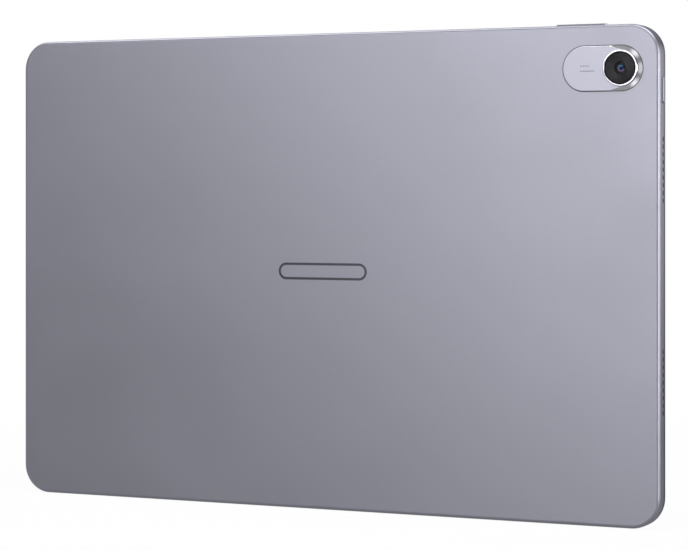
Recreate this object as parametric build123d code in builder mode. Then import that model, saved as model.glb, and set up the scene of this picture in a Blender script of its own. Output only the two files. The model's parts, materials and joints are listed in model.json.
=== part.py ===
from build123d import *
import os

# Slim metal tablet computer, built as it comes apart on a bench.
# It stands on its bottom long edge: X runs along the long side, Y through the thickness, Z up.
# The screen faces -Y and the metal back faces +Y. The origin is the middle of the bottom edge.
# All sizes are in millimetres.

# ---------------------------------------------------------------- overall size
body_length = 260.88  # along X
body_height = 176.82  # along Z
body_thickness = 6.85  # along Y, glass face to back face
corner_radius = 10.7
back_edge_fillet = 1.25
rim_fillet = 0.45

# ---------------------------------------------------------------- metal housing
back_wall = 0.8
side_wall = 1.8
rim_wall = 0.8  # thin front part of the side wall, around the plastic frame
rim_drop = 0.275  # front edge of the rim, behind the glass face
ledge_drop = 1.525  # ledge that carries the plastic frame, behind the glass face
boss_radius = 2.0
cut_overrun = 1.0  # how far cutting tools start outside the part

# ---------------------------------------------------------------- display
glass_thickness = 0.65
glass_edge_fillet = 0.2
glass_gap = 0.05  # glass edge to frame lip
frame_gap = 0.03  # frame to metal rim
lip_width = 0.55
lip_drop = 0.125  # front of the lip, behind the glass face
shelf_inset = 3.6  # inner edge of the frame's shelf, in from the body outline
gasket_thickness = 0.15
gasket_inset = 1.9
gasket_width = 1.5
side_bezel = 8.24
top_bezel = 8.41
bottom_bezel = 8.41
lcd_border = 1.2  # panel outside its active area, on three sides
lcd_driver_ledge = 3.6  # the same along the bottom, where the driver is bonded
lcd_thickness = 1.0
tray_depth = 1.2
tray_wall = 0.3
tray_floor = 0.2
film_thickness = 0.1
front_film_count = 3
film_gap = 0.4  # films and light guide to tray wall
film_step = 0.4  # each front film smaller than the one behind it, on every side
led_band = 2.0  # room for the LEDs along the bottom of the tray
led_count = 36
led_size = (3.0, 0.5, 0.8)
led_strip_margins = (0.1, 0.3)  # strip to the tray wall, and to the light guide's side of its band
stack_gap = 0.15  # behind the tray, before the inner parts

# ---------------------------------------------------------------- rear camera
lens_inset = 14.15  # lens axis from the -X end
lens_drop = 15.42  # lens axis below the top edge
plate_length = 29.4
plate_height = 15.84
plate_proud = 0.5
plate_recess = 0.3
plate_gap = 0.03
plate_chamfer = 0.18
cone_top_radius = 6.6  # polished cone round the lens end of the plate
cone_runout = 4.0
ring_radius = 6.4
ring_height = 1.0
ring_chamfer = 0.3
ring_land = 0.18
window_radius = 5.8
window_gap = 0.03
window_thickness = 0.5
window_seat = 0.275
window_seat_radius = 5.2
mask_thickness = 0.16
mask_radius = 5.15
mask_hole_radius = 2.1
camera_hole_gap = 0.32  # round the tower
module_wall = 0.7
tower_wall = 0.8
tower_above_plate = 0.075
module_roof = 1.0
focus_travel = 0.3
barrel_radius = 2.72
barrel_clearance = 0.08
barrel_length = 3.02
barrel_below_mask = 0.06  # left over at the end of the focus travel
aperture_radius = 1.45
lens_radius = 1.9
lens_clearance = 0.02
lens_heights = (0.7, 0.65, 0.6)
lens_spacing = 0.05
lens_step_depth = 0.5
lens_dome_radius = 1.4
lens_dome_height = 0.25
coil_wall = 0.48
coil_gap = 0.15  # coil to magnets
coil_height = 0.45
coil_flange = 0.15
focus_magnet = (4.0, 0.45, 0.7)  # length, thickness, height
sensor_length = 6.4
sensor_width = 5.0
sensor_height = 0.5
camera_board_thickness = 0.4

# ---------------------------------------------------------------- edge features
side_feature_depth = 3.875  # axis of buttons and sound slots, in from the back face
power_button_drop = 23.17  # middle of the power button below the top edge
power_cap_length = 9.33
cap_width = 2.2
cap_clearance = 0.08
power_proud = 0.5
power_travel = 0.25
cap_fillet = 0.25
flange_overlap = 1.0  # how far a button's flange reaches past its cap at each end
flange_width = 2.8
flange_thickness = 0.5
rocker_inset = 29.92  # middle of the volume rocker from the -X end
rocker_cap_length = 19.1
rocker_end_clearance = 0.2
rocker_proud = 0.6
rocker_flange_gap = 0.25
rocker_nub_radius = 0.3
rocker_plunger_spread = 6.0
rocker_plunger_height = 0.35
plunger_radius = 0.6
plunger_length = 0.4
nub_clearance = 0.02
rocker_plunger_clearance = 0.17
switch_length = 4.0
switch_width = 2.2
switch_thickness = 0.6
volume_switch_thickness = 0.35
dome_radius = 1.0
dome_height = 0.28
volume_dome_height = 0.2
bracket_thickness = 0.4
bracket_foot = 2.0
bracket_overlap = 1.35
fulcrum_half_width = 0.9

slots_per_group = 9
slot_length = 1.8
slot_width = 1.1
slot_pitch = 2.7
speaker_spacing = 74.4  # between the middles of an end's two slot groups
mesh_thickness = 0.1
mesh_margin = 0.15
microphone_offsets = (-30.0, 82.0)  # along X
microphone_hole_radius = 0.5
microphone_size = (4.0, 2.6, 1.2)

# ---------------------------------------------------------------- USB-C receptacle, +X end
usb_axis_depth = 3.325  # in from the back face
usb_width = 8.94
usb_height = 3.16
usb_shell_wall = 0.3
usb_shell_length = 6.7
usb_mouth_inset = 0.14
usb_opening_gap = 0.08
usb_tongue_width = 6.69
usb_tongue_thickness = 0.7
usb_tongue_setback = 0.6
usb_block_length = 1.0
contact_count = 12
contact_pitch = 0.5
contact_width = 0.25
contact_thickness = 0.04
contact_length = 3.5
contact_setback = 0.4  # from the tongue's tip
usb_gasket_thickness = 0.6
usb_gasket_band = 0.3

# ---------------------------------------------------------------- loudspeakers
speaker_length = 34.0
speaker_depth_x = 13.2
speaker_wall = 0.3
speaker_front_gap = 0.125  # behind the display stack's own gap
duct_reach = 4.7  # how far in the tall sound duct goes, short of the display tray
duct_front_rise = 1.2  # duct's front above the rest of the box
chamber_depth = 0.5
baffle_thickness = 0.3
diaphragm_width = 7.0
diaphragm_length = 15.0
diaphragm_thickness = 0.15
diaphragm_gap = 0.2
diaphragm_inset = 5.2
diaphragm_recess = 0.05
coil_inset = 1.0
voice_coil_wall = 0.25
voice_coil_depth = 0.7
speaker_magnet_gap = 0.3
speaker_magnet_depth = 1.1

# ---------------------------------------------------------------- boards, battery and wiring
mainboard_inset = 17.64  # from the inner face of the -X wall
mainboard_width = 39.0
mainboard_bottom = 30.0
mainboard_top_margin = 8.82
board_thickness = 0.7
mainboard_standoff = 0.72
board_hole_inset = 3.0
middle_screw_drop = 2.5  # below the radio can
screw_radius = 0.6
screw_head_radius = 1.3
screw_head_height = 0.4
screw_clearance = 0.2
screw_hole_in_wall = 0.15  # how far a blind screw hole goes past its boss
screw_shank_gap = 0.02
can_height = 1.4
can_wall = 0.2
can_inset = 3.0
can_spacing = 10.0  # between the two cans, for the main flex's connector
can_top_margin = 20.0
can_bottom_margin = 22.0
chip_height = 0.9
processor_size = 14.0
processor_shift = -7.5  # from the board's middle line
processor_drop = 12.0  # below its can's top edge
chip_length = 12.0
chip_width = 11.0
memory_shift = 8.0
memory_drops = (10.0, 23.0)
graphite_thickness = 0.1
connector_height = 0.7
flex_connector_ends = (10.0, 2.0)  # in from the board's edge
power_connector_ends = (9.0, 3.0)
power_connector_rise = 12.0  # above the main board's bottom edge
power_connector_height = 5.0
display_connector_rise = 2.5
display_connector_size = (8.0, 5.0)
lead_connector_ends = (5.5, 3.5)
lead_connector_height = 2.0
lead_connector_drops = (8.0, 12.0)  # below the main board's top edge
usb_connector_ends = (4.0, 10.0)  # in from the USB board's left edge
flex_thickness = 0.15
main_flex_width = 4.4

usb_board_length = 27.0
usb_board_width = 31.0
usb_board_thickness = 0.6
usb_board_wall_gap = 0.6

battery_left_gap = 6.0
battery_right_gap = 3.0
battery_band = 29.4  # free strip above and below the cells
cell_gap = 6.0
cell_fillet = 0.8
tape_thickness = 0.15
tape_width = 20.0
battery_board_width = 5.0
battery_board_thickness = 0.6
battery_board_margins = (10.0, 30.0)  # inside the main board's bottom and top edges
battery_board_gap = 0.05  # behind the connectors' front
power_tab_thickness = 0.15
power_tab_proud = 0.05  # in front of the connectors
power_tab_lap = 0.5
flex_ramp = 8.0  # length over which the main flex changes level

display_board_inset = 7.0  # from the main board's left edge
display_board_length = 114.0
display_board_bottom = 14.0
display_board_height = 8.0
display_board_thickness = 0.4
display_flex_width = 60.0
display_flex_clearance = 0.15
display_flex_bond = 0.45  # flex behind the panel's front
display_cable_offset = 6.0  # from the driver board's left edge
display_cable_width = 7.0
display_cable_lap = 5.0
display_cable_ramp = 4.0

front_camera_gap = 0.2  # to the top wall
front_camera_width = 5.4
front_camera_height = 4.8
front_camera_depth = 3.4
front_lens_radius = 1.8
front_lens_gap = 0.025  # behind the front of the frame's shelf
front_lens_clearance = 0.5
front_camera_seat = 0.1  # behind the frame's ledge
light_sensor_offset = 14.0
light_sensor_size = (2.4, 0.5, 1.6)
antenna_starts = (-60.0, 50.0)
antenna_length = 20.0
antenna_height = 3.0
antenna_depth = 3.25
antenna_gap = 0.8  # to the top wall
cable_radius = 0.4
cable_board_gap = 0.05
magnet_count = 8
keyboard_magnet = (14.0, 1.2, 4.0)
keyboard_magnet_rise = 6.0

# ---------------------------------------------------------------- levels worked out from these
half_length = body_length / 2
mid_height = body_height / 2
glass_front = -body_thickness / 2
glass_back = glass_front + glass_thickness
shelf_front = glass_back + gasket_thickness
ledge_level = glass_front + ledge_drop
lcd_back = glass_back + lcd_thickness
tray_back = lcd_back + tray_depth
inner_front = tray_back + stack_gap
back_face = body_thickness / 2
floor_level = back_face - back_wall
inner_end = half_length - side_wall
inner_top = body_height - side_wall
side_axis = back_face - side_feature_depth

lcd_half_length = half_length - side_bezel + lcd_border
lcd_bottom = bottom_bezel - lcd_driver_ledge
lcd_top = body_height - top_bezel + lcd_border

lens_x = -half_length + lens_inset
lens_z = body_height - lens_drop
plate_top = back_face + plate_proud
plate_middle = lens_x - plate_height / 2 + plate_length / 2
window_back = plate_top + window_seat
mask_front = window_back - mask_thickness
tower_top = plate_top + tower_above_plate
module_front = inner_front + camera_board_thickness
tower_radius = barrel_radius + barrel_clearance + tower_wall
camera_hole_radius = tower_radius + camera_hole_gap
coil_radius = barrel_radius + coil_wall
module_width = 2 * (coil_radius + coil_gap + focus_magnet[1] + module_wall)
barrel_top = mask_front - barrel_below_mask - focus_travel
barrel_bottom = barrel_top - barrel_length

power_z = body_height - power_button_drop
rocker_x = -half_length + rocker_inset
rocker_flange_top = inner_top - rocker_flange_gap
rocker_pivot_z = rocker_flange_top - flange_thickness

usb_axis = back_face - usb_axis_depth
usb_mouth = half_length - usb_mouth_inset
usb_end = usb_mouth - usb_shell_length
speaker_heights = {
    "upper": mid_height + speaker_spacing / 2,
    "lower": mid_height - speaker_spacing / 2,
}
slot_group_length = (slots_per_group - 1) * slot_pitch + slot_length
box_front = inner_front + speaker_front_gap
chamber_front = box_front + speaker_wall
baffle_front = chamber_front + chamber_depth
baffle_back = baffle_front + baffle_thickness

board_back = floor_level - mainboard_standoff
board_front = board_back - board_thickness
mainboard_left = -inner_end + mainboard_inset
mainboard_right = mainboard_left + mainboard_width
mainboard_top = body_height - mainboard_top_margin
mainboard_middle = (mainboard_left + mainboard_right) / 2
connector_front = board_front - connector_height
usb_board_right = inner_end - usb_board_wall_gap
usb_board_left = usb_board_right - usb_board_length
usb_board_front = usb_axis + usb_height / 2
usb_board_back = usb_board_front + usb_board_thickness
usb_connector_front = usb_board_front - connector_height
battery_left = mainboard_right + battery_left_gap
battery_right = usb_board_left - battery_right_gap
front_camera_z = inner_top - front_camera_gap - front_camera_height / 2
processor_can = (mid_height + can_spacing / 2, mainboard_top - can_top_margin)
radio_can = (mainboard_bottom + can_bottom_margin, mid_height - can_spacing / 2)
display_board_left = mainboard_left + display_board_inset
display_board_right = display_board_left + display_board_length


def facing(level):
    """Sketch plane parallel to the screen at Y = level. Its own axes run along X and Z."""
    return Plane.XZ.offset(-level)


def outline(inset, mode=Mode.ADD):
    """Rounded outline of the body, moved in all round."""
    with Locations((0, mid_height)):
        RectangleRounded(
            body_length - 2 * inset, body_height - 2 * inset, corner_radius - inset, mode=mode
        )


def block(x, y, z, mode=Mode.ADD):
    """Box between two values on each axis."""
    with BuildSketch(facing(max(y))) as section:
        with Locations(((x[0] + x[1]) / 2, (z[0] + z[1]) / 2)):
            Rectangle(abs(x[1] - x[0]), abs(z[1] - z[0]))
    extrude(section.sketch, amount=abs(y[1] - y[0]), mode=mode)


def disc(x, z, radius, y, mode=Mode.ADD):
    """Cylinder along Y between two levels."""
    with BuildSketch(facing(max(y))) as section:
        with Locations((x, z)):
            Circle(radius)
    extrude(section.sketch, amount=abs(y[1] - y[0]), mode=mode)


def around(middle, half):
    """The two values at an equal distance from a middle."""
    return (middle - half, middle + half)


def cone_section(top_radius, foot_level, side):
    """Section cut off the plate's edge, from its top at a radius down to its outer edge."""
    foot = plate_height / 2
    with BuildLine() as edge:
        Polyline(
            (plate_top, lens_z + side * top_radius),
            (foot_level, lens_z + side * foot),
            (foot_level, lens_z + side * (foot + 1)),
            (plate_top + 1, lens_z + side * (foot + 1)),
            (plate_top + 1, lens_z + side * top_radius),
            close=True,
        )
    make_face(edge.line)


def save(piece, name):
    """Label a finished piece and write it to its own STEP file."""
    piece.part.label = name
    export_step(piece.part, f"parts/{name}.step")


os.makedirs("parts", exist_ok=True)

# Screw places: six on the main board, four on the USB board.
board_screw_places = [
    (x, z)
    for x, middle_z in (
        (mainboard_left + board_hole_inset, mid_height),
        (mainboard_right - board_hole_inset, radio_can[0] - middle_screw_drop),
    )
    for z in (mainboard_bottom + board_hole_inset, middle_z, mainboard_top - board_hole_inset)
]
usb_screw_places = [
    (x, mid_height + side * (usb_board_width / 2 - board_hole_inset))
    for x in (usb_board_left + board_hole_inset, usb_board_right - board_hole_inset)
    for side in (-1, 1)
]

# ================================================================ casing
# Unibody metal shell: back, side walls, stepped rim, button and sound openings, bosses inside.
with BuildPart() as rear_housing:
    with BuildSketch(facing(back_face)):
        outline(0)
    extrude(amount=back_face - glass_front - rim_drop)
    faces_along_y = rear_housing.faces().filter_by(Axis.Y).sort_by(Axis.Y)
    fillet(faces_along_y[-1].edges(), back_edge_fillet)
    fillet(faces_along_y[0].edges(), rim_fillet)
    with BuildSketch(facing(ledge_level)):
        outline(rim_wall)
    extrude(amount=ledge_drop, mode=Mode.SUBTRACT)
    with BuildSketch(facing(floor_level)):
        outline(side_wall)
    extrude(amount=floor_level - ledge_level, mode=Mode.SUBTRACT)
    # Recess for the camera plate, and the hole the camera looks through.
    with BuildSketch(facing(back_face)):
        with Locations((plate_middle, lens_z)):
            SlotOverall(plate_length + 2 * plate_gap, plate_height + 2 * plate_gap)
    extrude(amount=plate_recess, mode=Mode.SUBTRACT)
    disc(lens_x, lens_z, camera_hole_radius, (floor_level - cut_overrun, back_face), Mode.SUBTRACT)
    # Power button slot in the -X wall.
    with BuildSketch(Plane.YZ.offset(-half_length - cut_overrun)):
        with Locations((side_axis, power_z)):
            SlotOverall(
                power_cap_length + 2 * cap_clearance, cap_width + 2 * cap_clearance, rotation=90
            )
    extrude(amount=side_wall + 2 * cut_overrun, mode=Mode.SUBTRACT)
    # Volume rocker slot and microphone holes in the top wall.
    with BuildSketch(Plane.XY.offset(body_height + cut_overrun)):
        with Locations((rocker_x, side_axis)):
            SlotOverall(rocker_cap_length + 2 * rocker_end_clearance, cap_width + 2 * cap_clearance)
        with Locations([(x, side_axis) for x in microphone_offsets]):
            Circle(microphone_hole_radius)
    extrude(amount=-side_wall - 2 * cut_overrun, mode=Mode.SUBTRACT)
    # Sound slots in both ends.
    for end in (-1, 1):
        with BuildSketch(Plane.YZ.offset(end * (half_length + cut_overrun))):
            with Locations([(side_axis, z) for z in speaker_heights.values()]):
                with GridLocations(1, slot_pitch, 1, slots_per_group):
                    SlotOverall(slot_length, slot_width, rotation=90)
        extrude(amount=-end * (side_wall + 2 * cut_overrun), mode=Mode.SUBTRACT)
    # Opening for the USB-C receptacle in the +X wall.
    with BuildSketch(Plane.YZ.offset(half_length + cut_overrun)):
        with Locations((usb_axis, mid_height)):
            SlotOverall(
                usb_width + 2 * usb_opening_gap, usb_height + 2 * usb_opening_gap, rotation=90
            )
    extrude(amount=-side_wall - 2 * cut_overrun, mode=Mode.SUBTRACT)
    # Bosses that carry the boards, each with a blind screw hole, and the front camera's pad.
    for places, level in ((board_screw_places, board_back), (usb_screw_places, usb_board_back)):
        for x, z in places:
            disc(x, z, boss_radius, (level, floor_level))
            disc(x, z, screw_radius, (level, floor_level + screw_hole_in_wall), Mode.SUBTRACT)
    block(
        around(0, front_camera_width / 2),
        (ledge_level + front_camera_depth, floor_level),
        around(front_camera_z, front_camera_height / 2),
    )
save(rear_housing, "rear_housing")

# Plastic frame between the metal rim and the glass: a thin lip, and a shelf the glass is glued to.
with BuildPart() as mid_frame:
    with BuildSketch(facing(ledge_level)):
        outline(rim_wall + frame_gap)
        outline(shelf_inset, mode=Mode.SUBTRACT)
    extrude(amount=ledge_level - shelf_front)
    with BuildSketch(facing(shelf_front)):
        outline(rim_wall + frame_gap)
        outline(rim_wall + frame_gap + lip_width, mode=Mode.SUBTRACT)
    extrude(amount=shelf_front - glass_front - lip_drop)
    disc(
        0,
        front_camera_z,
        front_lens_radius + front_lens_clearance,
        (ledge_level, shelf_front),
        Mode.SUBTRACT,
    )
save(mid_frame, "mid_frame")

# Foam gasket that glues the glass to the frame's shelf.
with BuildPart() as display_gasket:
    with BuildSketch(facing(shelf_front)):
        outline(gasket_inset)
        outline(gasket_inset + gasket_width, mode=Mode.SUBTRACT)
    extrude(amount=gasket_thickness)
save(display_gasket, "display_gasket")

# ================================================================ display
with BuildPart() as cover_glass:
    with BuildSketch(facing(glass_back)):
        outline(rim_wall + frame_gap + lip_width + glass_gap)
    extrude(amount=glass_thickness)
    fillet(cover_glass.faces().sort_by(Axis.Y)[0].edges(), glass_edge_fillet)
save(cover_glass, "cover_glass")

with BuildPart() as lcd_panel:
    block(around(0, lcd_half_length), (glass_back, lcd_back), (lcd_bottom, lcd_top))
save(lcd_panel, "lcd_panel")

# Pressed metal tray that holds the backlight.
tray_inner_half = lcd_half_length - tray_wall
tray_inner_floor = tray_back - tray_floor
with BuildPart() as backlight_tray:
    block(around(0, lcd_half_length), (lcd_back, tray_back), (lcd_bottom, lcd_top))
    block(
        around(0, tray_inner_half),
        (lcd_back, tray_inner_floor),
        (lcd_bottom + tray_wall, lcd_top - tray_wall),
        Mode.SUBTRACT,
    )
save(backlight_tray, "backlight_tray")

# Diffuser and prism films in front of the light guide, and the reflector behind it.
film_half = tray_inner_half - film_gap
film_z = (lcd_bottom + tray_wall + led_band, lcd_top - tray_wall - film_gap)
guide_front = lcd_back + front_film_count * film_thickness
guide_back = tray_inner_floor - film_thickness
with BuildPart() as optical_films:
    for index in range(front_film_count):
        with BuildSketch(facing(lcd_back + (index + 1) * film_thickness)):
            with Locations((0, sum(film_z) / 2)):
                Rectangle(
                    2 * (film_half - film_step * index),
                    film_z[1] - film_z[0] - 2 * film_step * index,
                )
        extrude(amount=film_thickness)
    block(around(0, film_half), (guide_back, tray_inner_floor), film_z)
save(optical_films, "optical_films")

with BuildPart() as light_guide:
    block(around(0, film_half), (guide_front, guide_back), film_z)
save(light_guide, "light_guide")

# LEDs on their flexible strip, along the bottom of the tray.
strip_z = (
    lcd_bottom + tray_wall + led_strip_margins[0],
    lcd_bottom + tray_wall + led_band - led_strip_margins[1],
)
led_pitch = 2 * (film_half - led_size[0]) / (led_count - 1)
with BuildPart() as led_strip:
    block(around(0, film_half), (tray_inner_floor - film_thickness, tray_inner_floor), strip_z)
    for index in range(led_count):
        block(
            around(-film_half + led_size[0] + index * led_pitch, led_size[0] / 2),
            (tray_inner_floor - film_thickness - led_size[1], tray_inner_floor - film_thickness),
            (strip_z[1] - led_size[2], strip_z[1]),
        )
save(led_strip, "led_strip")

# Driver board on the back of the tray.
display_board_z = (display_board_bottom, display_board_bottom + display_board_height)
display_board_y = (tray_back, tray_back + display_board_thickness)
with BuildPart() as display_board:
    block((display_board_left, display_board_right), display_board_y, display_board_z)
save(display_board, "display_board")

# Flex that folds from the panel's bottom edge round the tray to the driver board.
flex_out = lcd_bottom - display_flex_clearance
flex_back = display_board_y[1]
bond_level = glass_back + display_flex_bond
flex_middle = (display_board_left + display_board_right) / 2
with BuildPart() as display_flex:
    with BuildSketch(Plane.YZ.offset(flex_middle - display_flex_width / 2)):
        with BuildLine():
            Polyline(
                (bond_level, lcd_bottom),
                (bond_level, flex_out - flex_thickness),
                (flex_back, flex_out - flex_thickness),
                (flex_back, display_board_bottom),
                (flex_back - flex_thickness, display_board_bottom),
                (flex_back - flex_thickness, flex_out),
                (bond_level + flex_thickness, flex_out),
                (bond_level + flex_thickness, lcd_bottom),
                close=True,
            )
        make_face()
    extrude(amount=display_flex_width)
save(display_flex, "display_flex")

# ================================================================ rear camera
# Plate round the lens: flat top, small chamfer, and a polished cone round the lens end.
with BuildPart() as camera_plate:
    with BuildSketch(facing(plate_top)):
        with Locations((plate_middle, lens_z)):
            SlotOverall(plate_length, plate_height)
    extrude(amount=plate_proud + plate_recess)
    chamfer(camera_plate.faces().sort_by(Axis.Y)[-1].edges(), plate_chamfer)
    # Cone round the -X half of the lens end, then its run-outs along the two straight edges.
    with BuildSketch(Plane.YZ.offset(lens_x)):
        cone_section(cone_top_radius, back_face + plate_gap, -1)
    revolve(axis=Axis((lens_x, 0, lens_z), (0, 1, 0)), revolution_arc=180, mode=Mode.SUBTRACT)
    for side in (-1, 1):
        with BuildSketch(Plane.YZ.offset(lens_x)):
            cone_section(cone_top_radius, back_face + plate_gap, side)
        with BuildSketch(Plane.YZ.offset(lens_x + cone_runout)):
            cone_section(plate_height / 2 - plate_chamfer, plate_top - plate_chamfer, side)
        loft(ruled=True, mode=Mode.SUBTRACT)
    disc(lens_x, lens_z, camera_hole_radius, (back_face - back_wall, plate_top), Mode.SUBTRACT)
save(camera_plate, "camera_plate")

# Polished ring on the plate, with the seat for the window.
with BuildPart() as camera_ring:
    with BuildSketch(Plane.XY.offset(lens_z)):
        with BuildLine():
            Polyline(
                (lens_x + window_seat_radius, plate_top),
                (lens_x + ring_radius, plate_top),
                (lens_x + ring_radius, plate_top + ring_height - ring_chamfer),
                (lens_x + ring_radius - ring_chamfer, plate_top + ring_height),
                (lens_x + ring_radius - ring_chamfer - ring_land, plate_top + ring_height),
                (lens_x + window_radius + window_gap, window_back + window_thickness),
                (lens_x + window_radius + window_gap, window_back),
                (lens_x + window_seat_radius, window_back),
                close=True,
            )
        make_face()
    revolve(axis=Axis((lens_x, 0, lens_z), (0, 1, 0)))
save(camera_ring, "camera_ring")

with BuildPart() as camera_window:
    disc(lens_x, lens_z, window_radius, (window_back, window_back + window_thickness))
save(camera_window, "camera_window")

# Spun disc glued behind the window, open at the lens.
with BuildPart() as camera_mask:
    disc(lens_x, lens_z, mask_radius, (mask_front, window_back))
    disc(lens_x, lens_z, mask_hole_radius, (mask_front, window_back), Mode.SUBTRACT)
save(camera_mask, "camera_mask")

# Camera body: square base open to its board, and a round tower that guides the lens barrel.
with BuildPart() as camera_body:
    base_x = around(lens_x, module_width / 2)
    base_z = around(lens_z, module_width / 2)
    block(base_x, (module_front, floor_level), base_z)
    block(
        around(lens_x, module_width / 2 - module_wall),
        (module_front, floor_level - module_roof),
        around(lens_z, module_width / 2 - module_wall),
        Mode.SUBTRACT,
    )
    disc(lens_x, lens_z, tower_radius, (floor_level, tower_top))
    disc(
        lens_x,
        lens_z,
        barrel_radius + barrel_clearance,
        (floor_level - module_roof, tower_top),
        Mode.SUBTRACT,
    )
save(camera_body, "camera_body")

# Camera board with the image sensor on it.
with BuildPart() as camera_board:
    block(base_x, (inner_front, module_front), base_z)
    block(
        around(lens_x, sensor_length / 2),
        (module_front, module_front + sensor_height),
        around(lens_z, sensor_width / 2),
    )
save(camera_board, "camera_board")

# Lens barrel, which slides along its axis to focus. Its foot carries the focus coil.
lens_shoulder = barrel_top - lens_step_depth
with BuildPart() as lens_barrel:
    disc(lens_x, lens_z, barrel_radius, (barrel_bottom, barrel_top))
    disc(lens_x, lens_z, coil_radius, (barrel_bottom, barrel_bottom + coil_flange))
    disc(lens_x, lens_z, lens_radius + lens_clearance, (barrel_bottom, lens_shoulder), Mode.SUBTRACT)
    disc(lens_x, lens_z, aperture_radius, (lens_shoulder, barrel_top), Mode.SUBTRACT)
save(lens_barrel, "lens_barrel")

# Stack of lens elements against the barrel's shoulder. The front one has a domed face.
with BuildPart() as lens_elements:
    element_back = lens_shoulder
    for height in lens_heights:
        with BuildSketch(facing(element_back)):
            with Locations((lens_x, lens_z)):
                Circle(lens_radius)
        extrude(amount=height)
        element_back -= height + lens_spacing
    with BuildSketch(Plane.XY.offset(lens_z)):
        with BuildLine():
            apex = (lens_x, lens_shoulder + lens_dome_height)
            rim = (lens_x + lens_dome_radius, lens_shoulder)
            TangentArc(apex, rim, tangent=(1, 0))
            Polyline(rim, (lens_x, lens_shoulder), apex)
        make_face()
    revolve(axis=Axis((lens_x, 0, lens_z), (0, 1, 0)))
save(lens_elements, "lens_elements")

with BuildPart() as focus_coil:
    coil_y = (barrel_bottom + coil_flange, barrel_bottom + coil_flange + coil_height)
    disc(lens_x, lens_z, coil_radius, coil_y)
    disc(lens_x, lens_z, barrel_radius + lens_clearance, coil_y, Mode.SUBTRACT)
save(focus_coil, "focus_coil")

# Four bar magnets on the inner walls of the camera body.
with BuildPart() as focus_magnets:
    wall = module_width / 2 - module_wall
    magnet_length, magnet_thickness, magnet_height = focus_magnet
    magnet_y = around(barrel_bottom + coil_flange + coil_height / 2, magnet_height / 2)
    for side in (-1, 1):
        across = (side * (wall - magnet_thickness), side * wall)
        along = around(0, magnet_length / 2)
        block([lens_x + v for v in across], magnet_y, [lens_z + v for v in along])
        block([lens_x + v for v in along], magnet_y, [lens_z + v for v in across])
save(focus_magnets, "focus_magnets")

# ================================================================ buttons
# Power button: cap through the wall, flange behind it, and a nub that meets the switch.
with BuildPart() as power_button:
    with BuildSketch(Plane.YZ.offset(-inner_end)):
        with Locations((side_axis, power_z)):
            SlotOverall(power_cap_length, cap_width, rotation=90)
    extrude(amount=-side_wall - power_proud)
    fillet(power_button.faces().sort_by(Axis.X)[0].edges(), cap_fillet)
    with BuildSketch(Plane.YZ.offset(-inner_end)):
        with Locations((side_axis, power_z)):
            Rectangle(flange_width, power_cap_length + 2 * flange_overlap)
    extrude(amount=flange_thickness)
    with BuildSketch(Plane.YZ.offset(-inner_end + flange_thickness)):
        with Locations((side_axis, power_z)):
            Circle(plunger_radius)
    extrude(amount=plunger_length)
save(power_button, "power_button")

# Dome switch behind the power button. At full travel the nub just reaches the dome.
power_dome_top = -inner_end + flange_thickness + plunger_length + power_travel + nub_clearance
power_switch_front = power_dome_top + dome_height
power_switch_back = power_switch_front + switch_thickness
with BuildPart() as power_switch:
    block(
        (power_switch_front, power_switch_back),
        around(side_axis, switch_width / 2),
        around(power_z, switch_length / 2),
    )
    with BuildSketch(Plane.YZ.offset(power_switch_front)):
        with Locations((side_axis, power_z)):
            Circle(dome_radius)
    extrude(amount=-dome_height, taper=45)
save(power_switch, "power_switch")

# Volume rocker: one long cap that tilts on a rounded nub in the middle of its flange.
with BuildPart() as volume_rocker:
    with BuildSketch(Plane.XY.offset(rocker_flange_top)):
        with Locations((rocker_x, side_axis)):
            SlotOverall(rocker_cap_length, cap_width)
    extrude(amount=body_height + rocker_proud - rocker_flange_top)
    fillet(volume_rocker.faces().sort_by(Axis.Z)[-1].edges(), cap_fillet)
    with BuildSketch(Plane.XY.offset(rocker_flange_top)):
        with Locations((rocker_x, side_axis)):
            Rectangle(rocker_cap_length + 2 * flange_overlap, flange_width)
    extrude(amount=-flange_thickness)
    with BuildSketch(Plane.XZ.offset(-side_axis - cap_width / 2)):
        with Locations((rocker_x, rocker_pivot_z)):
            Circle(rocker_nub_radius)
    extrude(amount=cap_width)
    with BuildSketch(Plane.XY.offset(rocker_pivot_z)):
        with Locations([(rocker_x + side * rocker_plunger_spread, side_axis) for side in (-1, 1)]):
            Circle(plunger_radius)
    extrude(amount=-rocker_plunger_height)
save(volume_rocker, "volume_rocker")

# Two dome switches under the rocker, for louder and quieter.
volume_dome_top = rocker_pivot_z - rocker_plunger_height - rocker_plunger_clearance
volume_switch_top = volume_dome_top - volume_dome_height
volume_bracket_top = volume_switch_top - volume_switch_thickness
with BuildPart() as volume_switches:
    for side in (-1, 1):
        switch_x = rocker_x + side * rocker_plunger_spread
        block(
            around(switch_x, switch_length / 2),
            around(side_axis, switch_width / 2),
            (volume_bracket_top, volume_switch_top),
        )
        with BuildSketch(Plane.XY.offset(volume_switch_top)):
            with Locations((switch_x, side_axis)):
                Circle(dome_radius)
        extrude(amount=volume_dome_height, taper=45)
save(volume_switches, "volume_switches")

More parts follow.
